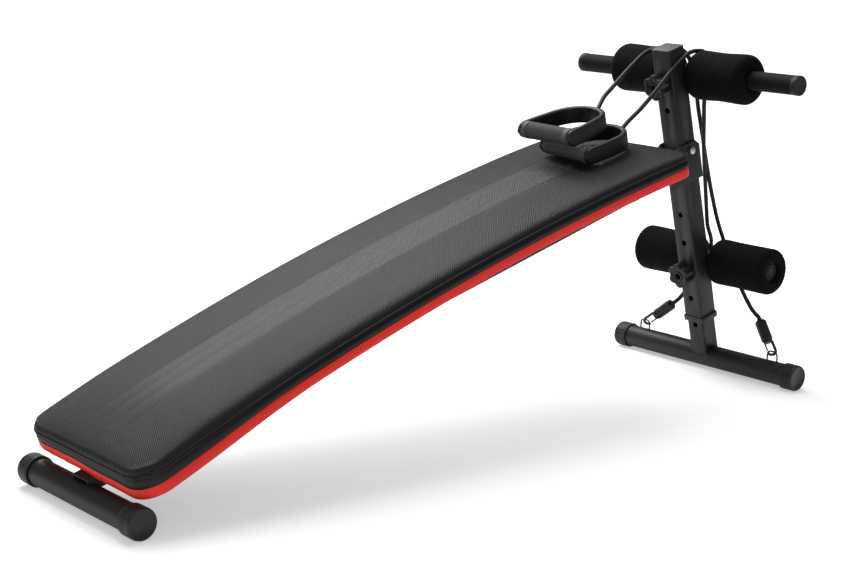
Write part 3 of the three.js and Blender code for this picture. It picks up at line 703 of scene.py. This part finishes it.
def board_grid(height, inset=0):
    """Vertices of a grid over the board, and the ordered rim of that grid."""
    vertices = []
    flat = []
    for y in ALONG:
        scale = half_width(y) / HALF_WIDTH
        for across in ACROSS:
            x = across * scale
            flat.append((x, y))
            px = x * (1 - inset / HALF_WIDTH)
            py = BOARD_LENGTH / 2 + (y - BOARD_LENGTH / 2) * (1 - 2 * inset / BOARD_LENGTH)
            vertices.append(on_arc(px, py, height(x, y)))
    wide = len(ACROSS)
    tall = len(ALONG)
    rim = list(range(wide))
    rim += [i * wide + wide - 1 for i in range(1, tall)]
    rim += [(tall - 1) * wide + j for j in range(wide - 2, -1, -1)]
    rim += [i * wide for i in range(tall - 2, 0, -1)]
    return vertices, flat, rim


def grid_faces(start=0):
    """Quads of a board grid whose first vertex is `start`."""
    wide = len(ACROSS)
    faces = []
    for i in range(len(ALONG) - 1):
        for j in range(wide - 1):
            a = start + i * wide + j
            faces.append((a, a + 1, a + 1 + wide, a + wide))
    return faces


def outward(x, y):
    """Unit vector, in the board's flat coordinates, away from the board at its rim."""
    e = 1e-4
    gx = edge_distance(x - e, y) - edge_distance(x + e, y)
    gy = edge_distance(x, y - e) - edge_distance(x, y + e)
    size = math.hypot(gx, gy) or 1
    return gx / size, gy / size


def banded(name, top, bottom, rows, material, replaced, inset=0):
    """A closed slab on the board: an upper grid, rows of rim points (out, height) and a lower grid."""
    vertices, flat, rim = board_grid(top)
    faces = grid_faces()
    loop = rim
    for row in rows:
        start = len(vertices)
        for index in rim:
            x, y = flat[index]
            nx, ny = outward(x, y)
            out, h = row(x, y)
            vertices.append(on_arc(x + nx * out, y + ny * out, h))
        below = [start + k for k in range(len(rim))]
        for k in range(len(rim)):
            m = (k + 1) % len(rim)
            faces.append((loop[k], loop[m], below[m], below[k]))
        loop = below
    start = len(vertices)
    lower, _, _ = board_grid(bottom, inset)
    vertices += lower
    faces += grid_faces(start)
    for k in range(len(rim)):
        m = (k + 1) % len(rim)
        faces.append((loop[k], loop[m], start + rim[m], start + rim[k]))
    return piece(name, vertices, faces, material, "board", replaced, sharp=50)


def repaint(made, material, faces):
    """Gives some of a piece's faces a second material."""
    made.data.materials.append(material)
    for index in faces:
        made.data.polygons[index].material_index = 1


def pleat(x, y):
    """Sideways ripple of the loose cover round the corners."""
    return gathers(x, y) * 1.2


PAD_FOOT = 0.0158
SEAM_X = 0.055


def upright_seam(x, y):
    """The cover's joining seam, a small upright fold in the middle part of the front side."""
    return -0.0024 * math.exp(-(((x + SEAM_X) / 0.0018) ** 2)) if y < 0.02 else 0


pad_rows = [
    lambda x, y: (0.0002, 0.0296 - 0.2 * sag(x, y)),
    lambda x, y: (-0.0006, 0.0286 - 0.25 * sag(x, y)),
    lambda x, y: (0.0007 + pleat(x, y), 0.0276 - 0.3 * sag(x, y)),
    lambda x, y: (0.0010 + pleat(x, y) + upright_seam(x, y), 0.0262 - 0.35 * sag(x, y)),
    lambda x, y: (-0.0001 + pleat(x, y), 0.0253 - 0.4 * sag(x, y)),
    lambda x, y: (0.0012 + pleat(x, y) + upright_seam(x, y), 0.0243 - 0.5 * sag(x, y)),
    lambda x, y: (0.0020 + pleat(x, y) + upright_seam(x, y), 0.0205 - 0.8 * sag(x, y)),
    lambda x, y: (0.0015, PAD_FOOT + 0.0012 - sag(x, y)),
    lambda x, y: (0.0004, PAD_FOOT - sag(x, y)),
]
pad = banded("pad_cover", top_height, lambda x, y: PAD_FOOT, pad_rows, PAD_VINYL, ["pad"])
repaint(pad, BAND_VINYL, range(len(grid_faces()), len(pad.data.polygons)))


def proud(y):
    """How far the red edge stands out: more at the loose front, less at the taut rear."""
    return 0.0010 + 0.0014 * (1 - ease(y, 0.10, 0.60))


edge_rows = [
    lambda x, y: (0.6 * proud(y), 0.0150 - sag(x, y)),
    lambda x, y: (proud(y), 0.0125 - sag(x, y)),
    lambda x, y: (proud(y) + 0.0003, 0.0080 - sag(x, y)),
    lambda x, y: (proud(y), 0.0035 - sag(x, y)),
    lambda x, y: (0.4 * proud(y), 0.0008 - sag(x, y)),
    lambda x, y: (-0.0010, -0.0001 - sag(x, y)),
    lambda x, y: (-0.0100, 0.0002 - 0.6 * sag(x, y)),
    lambda x, y: (-0.0220, 0.0003 - 0.2 * sag(x, y)),
    lambda x, y: (-0.0235, 0.0008),
]
board_edge = banded("board_edge", lambda x, y: 0.0152, lambda x, y: 0.0008, edge_rows, RED_VINYL,
                    ["board_base"], inset=0.0240)
rim_count = len(board_grid(lambda x, y: 0)[2])
under_end = len(board_edge.data.polygons) - rim_count
repaint(board_edge, BACKING, range(under_end - len(grid_faces()), under_end))


def rim_tube(name, out, height, radius, material):
    """A thin round welt right round the board."""
    _, flat, rim = board_grid(lambda x, y: 0)
    path = []
    for index in rim:
        x, y = flat[index]
        nx, ny = outward(x, y)
        path.append(on_arc(x + nx * out, y + ny * out, height - 0.2 * sag(x, y)))
    size = 8
    vertices = []
    for k, point in enumerate(path):
        along = (path[(k + 1) % len(path)] - path[k - 1]).normalized()
        up = Vector((0, -math.sin(0.3), math.cos(0.3)))
        side = along.cross(up).normalized()
        up = side.cross(along)
        for j in range(size):
            angle = 2 * math.pi * j / size
            vertices.append(point + radius * (math.cos(angle) * side + math.sin(angle) * up))
    return piece(name, vertices, rings_to_faces(len(path), size, True), material, "board", sharp=80)


rim_tube("pad_piping", 0.0004, 0.0300, 0.0013, BAND_VINYL)


# ---- handles ----
def handle_frame(centre, yaw, pitch, roll):
    turn = Matrix.Rotation(yaw, 4, "Z") @ Matrix.Rotation(pitch, 4, "X") @ Matrix.Rotation(roll, 4, "Y")
    return Matrix.Translation(centre) @ turn


HANDLES = {
    "a": handle_frame((-0.0138, 0.2254, 0.4575), *[math.radians(v) for v in (-2.66, 14.37, 0.57)]),
    "b": handle_frame((0.0078, 0.2518, 0.4309), *[math.radians(v) for v in (-7.9, 13.16, 2)]),
}
BAND_LINE = [(0.0588, -0.0142), (0.0588, 0), (0.0586, 0.012), (0.0570, 0.026), (0.0543, 0.045),
             (0.0489, 0.071), (0.0376, 0.0875), (0.0205, 0.0983), (0, 0.1020)]
BAND_HALF_HEIGHT = 0.0143
GRIP_HALF = 0.0545
GRIP_RIBS = 20


def band_half_height(y):
    """Round at the ears' ends, behind the grip's axis, and of full height everywhere else."""
    if y < 0:
        return math.sqrt(max(BAND_HALF_HEIGHT ** 2 - y * y, 1e-7))
    return BAND_HALF_HEIGHT


def band_half_depth(y):
    """Thin round the ends of the grip and full from the shoulders on."""
    return 0.0040 + 0.0009 * ease(y, 0.010, 0.032)


def handle_band(key, placing):
    """The moulded loop from one end of the grip round to the other."""
    line = [Vector((x, y, 0)) for x, y in BAND_LINE]
    right = smooth_route(line, 0.003)
    left = [Vector((-p.x, p.y, 0)) for p in right[-2::-1]]
    path = right + left
    vertices = []
    section = []
    for cx, cz, start in ((1, 1, 0), (-1, 1, 90), (-1, -1, 180), (1, -1, 270)):
        for step in range(6):
            angle = math.radians(start + 18 * step)
            section.append((cx, cz, math.cos(angle), math.sin(angle)))
    for i, point in enumerate(path):
        ahead = path[min(i + 1, len(path) - 1)] - path[max(i - 1, 0)]
        normal = Vector((ahead.y, -ahead.x, 0)).normalized()
        half = band_half_height(point.y)
        depth = band_half_depth(point.y)
        corner = min(0.88 * depth, half * 0.6)
        for cx, cz, c, s in section:
            across = cx * (depth - corner) + corner * c
            up = cz * (half - corner) + corner * s
            vertices.append(placing @ (point + normal * across + Vector((0, 0, up))))
    size = len(section)
    faces = rings_to_faces(len(path), size)
    faces.append(tuple(range(size)))
    last = (len(path) - 1) * size
    faces.append(tuple(range(last, last + size)))
    piece(f"handle_{key}_band", vertices, faces, HANDLE_PLASTIC, "board", [f"handle_{key}"], sharp=50)


def handle_rod(key, placing):
    """The rod that the grip turns on, from ear to ear."""
    rod = [(-0.059, 0), (-0.059, 0.008), (0.059, 0.008), (0.059, 0)]
    lathe(f"handle_{key}_rod", rod, placing, HANDLE_PLASTIC, "board", segments=32)


def handle_grip(key, placing):
    """A rubber tube with a plain collar at each end and rings between them."""
    collar, groove, crest = 0.0146, 0.0124, 0.0142
    inner = GRIP_HALF - 0.0108
    right = [(inner - 0.0003, groove), (inner + 0.0001, collar - 0.0004), (inner + 0.0008, collar)]
    right += arc(GRIP_HALF - 0.0015, collar - 0.0015, 0.0015, 90, 0, 4) + [(GRIP_HALF, 0.0083)]
    grip_profile = [(-x, r) for x, r in right[::-1]]
    steps = 6
    for i in range(1, GRIP_RIBS * steps):
        wave = 0.5 - 0.5 * math.cos(2 * math.pi * i / steps)
        x = (inner - 0.0008) * (2 * i / (GRIP_RIBS * steps) - 1)
        grip_profile.append((x, groove + (crest - groove) * wave ** 0.6))
    grip_profile += right
    lathe(f"grip_{key}_skin", grip_profile, placing, GRIP_RUBBER, f"grip_{key}", [f"grip_{key}"],
          segments=48, closed=True, sharp=70)


for key, placing in HANDLES.items():
    handle_band(key, placing)
    handle_rod(key, placing)
    handle_grip(key, placing)


# ---- eyes, hooks and barrels ----
def eye(side, x):
    """A wire staple that stands on the foot tube."""
    foot_z = AXIS_Z + FOOT_R
    half, top = 0.0105, 0.060
    route = [(-half, foot_z), (-half, top - 0.007), (-half + 0.002, top - 0.002), (-half + 0.007, top),
             (half - 0.007, top), (half - 0.002, top - 0.002), (half, top - 0.007), (half, foot_z)]
    path = smooth_route([(x + dx, REAR_Y, z) for dx, z in route], 0.001)
    tube(f"eye_{side}_wire", path, 0.0015, BLACK_STEEL, "base", [f"eye_{side}"])


def hook_frame(bend, axis, across):
    """Z runs from the bend of the hook to its cord, X across its two arms."""
    z = Vector(axis).normalized()
    x = Vector(across)
    x = (x - z * x.dot(z)).normalized()
    y = z.cross(x)
    return Matrix((
        (x.x, y.x, z.x, bend[0]),
        (x.y, y.y, z.y, bend[1]),
        (x.z, y.z, z.z, bend[2]),
        (0, 0, 0, 1),
    ))


HOOKS = {
    "right": hook_frame((0.1520, 0.646, 0.0550), (-0.654, 0.236, 0.719), (0.526, 0.825, 0.207)),
    "left": hook_frame((-0.1485, 0.646, 0.0545), (0.735, 0.214, 0.643), (-0.369, -0.670, 0.645)),
}
TO_Z = Matrix.Rotation(-math.pi / 2, 4, "Y")


ARM = 0.0075
COLLAR = 0.028
BARREL_LENGTH = 0.042
BARREL_GROOVES = 8


def hook(side):
    """The bent wire with its collar, and the sprung gate across its mouth."""
    placing = HOOKS[side]
    route = [(ARM, 0, COLLAR - 0.0015), (ARM, 0, 0.016), (ARM, 0, 0.007), (ARM * 0.72, 0, 0.0018),
             (0, 0, 0), (-ARM * 0.72, 0, 0.0018), (-ARM, 0, 0.006)]
    path = [placing @ p for p in smooth_route(route, 0.001)]
    tube(f"hook_{side}_wire", path, 0.0025, BLACK_STEEL, "base", [f"hook_{side}"])
    ring = [(COLLAR - 0.003, 0), (COLLAR - 0.003, 0.0072), (COLLAR - 0.0024, 0.0080), (COLLAR, 0.0080),
            (COLLAR, 0)]
    lathe(f"hook_{side}_collar", ring, placing @ TO_Z, BLACK_STEEL, "base", segments=40)
    gate = [placing @ Vector((-0.0065, 0, z)) for z in (0.0094, 0.018, COLLAR - 0.0041)]
    tube(f"hook_gate_{side}_wire", gate, 0.0014, BLACK_STEEL, f"gate_{side}", [f"hook_gate_{side}"])


def barrel_and_ferrule(side):
    """The grooved barrel that holds the cord's end, and the crimp where the cord enters it."""
    placing = HOOKS[side] @ TO_Z
    start, end = COLLAR + 0.0003, COLLAR + BARREL_LENGTH
    barrel = [(start, 0)] + arc(start + 0.0030, 0.0072, 0.0030, 180, 90, 5)
    for i in range(1, BARREL_GROOVES):
        x = start + 0.004 + (BARREL_LENGTH - 0.010) * i / BARREL_GROOVES
        barrel += [(x - 0.0006, 0.0102), (x, 0.0098), (x + 0.0006, 0.0102)]
    barrel += arc(end - 0.0045, 0.0057, 0.0045, 90, 0, 6) + [(end, 0)]
    lathe(f"hook_barrel_{side}_skin", barrel, placing, CAP_PLASTIC, "base", [f"hook_barrel_{side}"],
          segments=48)
    tip = end + 0.004
    ferrule = [(end + 0.0003, 0), (end + 0.0003, 0.0046)]
    ferrule += arc(tip - 0.0008, 0.0038, 0.0008, 90, 0, 3) + [(tip, 0)]
    lathe(f"cord_ferrule_{side}_skin", ferrule, placing, CAP_PLASTIC, "base", [f"cord_ferrule_{side}"],
          segments=40)


for side, x in (("right", 0.150), ("left", -0.150)):
    eye(side, x)
    hook(side)
    barrel_and_ferrule(side)


# ---- pressed, sawn and turned metal pieces, with softened edges ----
METAL_PIECES = [
    (PAINT, ["inner_post", "outer_post", "rear_bracket", "main_rail", "front_board_bracket",
             "rear_board_support"]),
    (LIGHT_CAP, ["post_cap"]),
    (CAP_PLASTIC, ["post_bush", "top_saddle", "lower_saddle"]),
    (ZINC, ["pivot_bolt", "pivot_nut", "top_clamp_bolt", "lower_clamp_bolt", "top_knob_washer",
            "lower_knob_washer", "front_screw_right", "front_screw_left", "rear_screw_right",
            "rear_screw_left"]),
]
for material, names in METAL_PIECES:
    for name in names:
        refined(name, material)


# ---- floor and light ----
FLOOR_REACH = 30
FLOOR_DROP = 0.0005
# Painted light: the floor's glow for the camera near the object and far from it, the distances over which it
# rises, and its weaker glow for all other rays.
FLOOR_GLOW = (0.44, 1.0)
GLOW_SPREAD = (0.9, 2.0)
FLOOR_BOUNCE = 0.25
BACKDROP = 1.0
ROOM_LIGHT = (0.10, 0.35)
LIGHTS = [
    ("key", (-2.3, 0.5, 2.0), (0, 0, 0.3), 1.3, 34),
    ("top", (-0.9, 0.35, 2.9), (0, 0, 0.2), 2.0, 78),
    ("fill", (2.6, -2.2, 1.5), (0, 0, 0.3), 1.6, 15),
]


def camera_only(nodes, links, seen, unseen):
    """A value for what the camera sees directly and another for all other rays; each a number or a socket."""
    rays = nodes.new("ShaderNodeLightPath")
    pick = nodes.new("ShaderNodeMix")
    for slot, value in (("A", unseen), ("B", seen)):
        if isinstance(value, float):
            pick.inputs[slot].default_value = value
        else:
            links.new(value, pick.inputs[slot])
    links.new(rays.outputs["Is Camera Ray"], pick.inputs["Factor"])
    return pick.outputs["Result"]


def white_floor():
    """A pale floor that glows, painted light: a weaker glow near the object lets shadows show there, a full
    glow fades it to white away from it, and for all other rays a weak glow stands in for light bounced off
    the floor.
    """
    material = shader("floor", (0.80, 0.80, 0.80), 0.95, specular=0.05, bump=[(300, 0.0001)])
    nodes, links = material.node_tree.nodes, material.node_tree.links
    surface = nodes["Principled BSDF"]
    surface.inputs["Emission Color"].default_value = (1, 1, 1, 1)
    place = nodes.new("ShaderNodeTexCoord")
    away = nodes.new("ShaderNodeVectorMath")
    away.operation = "LENGTH"
    links.new(place.outputs["Object"], away.inputs[0])
    # Painted light: the glow rises from near the object to far from it, and rays other than the camera's see
    # a weaker glow.
    glow = remap(nodes, links, away.outputs["Value"], GLOW_SPREAD, FLOOR_GLOW, "SMOOTHSTEP")
    links.new(camera_only(nodes, links, glow, FLOOR_BOUNCE), surface.inputs["Emission Strength"])
    mesh = bpy.data.meshes.new("floor")
    square = [(-1, -1), (1, -1), (1, 1), (-1, 1)]
    corners = [(x * FLOOR_REACH, y * FLOOR_REACH, -FLOOR_DROP) for x, y in square]
    mesh.from_pydata(corners, [], [(0, 1, 2, 3)])
    mesh.materials.append(material)
    add_object("floor", mesh)


def grey_world():
    """White behind the object; for all other rays a room that is dim at eye level and brighter above."""
    world = bpy.data.worlds.new("studio")
    world.use_nodes = True
    nodes, links = world.node_tree.nodes, world.node_tree.links
    backdrop = nodes["Background"]
    place = nodes.new("ShaderNodeTexCoord")
    split = nodes.new("ShaderNodeSeparateXYZ")
    links.new(place.outputs["Generated"], split.inputs["Vector"])
    room = remap(nodes, links, split.outputs["Z"], (0, 1), ROOM_LIGHT)
    backdrop.inputs["Color"].default_value = (1, 1, 1, 1)
    links.new(camera_only(nodes, links, BACKDROP, room), backdrop.inputs["Strength"])
    bpy.context.scene.world = world


def studio():
    """The floor, the world and three soft area lights: name, place, target, size and power."""
    white_floor()
    grey_world()
    for name, place, target, size, power in LIGHTS:
        data = bpy.data.lights.new(name, "AREA")
        data.size = size
        data.energy = power
        light = add_object(name, data)
        light.location = place
        light.rotation_euler = (Vector(target) - Vector(place)).to_track_quat("-Z", "Y").to_euler()


studio()
bpy.context.scene.view_settings.view_transform = "Standard"
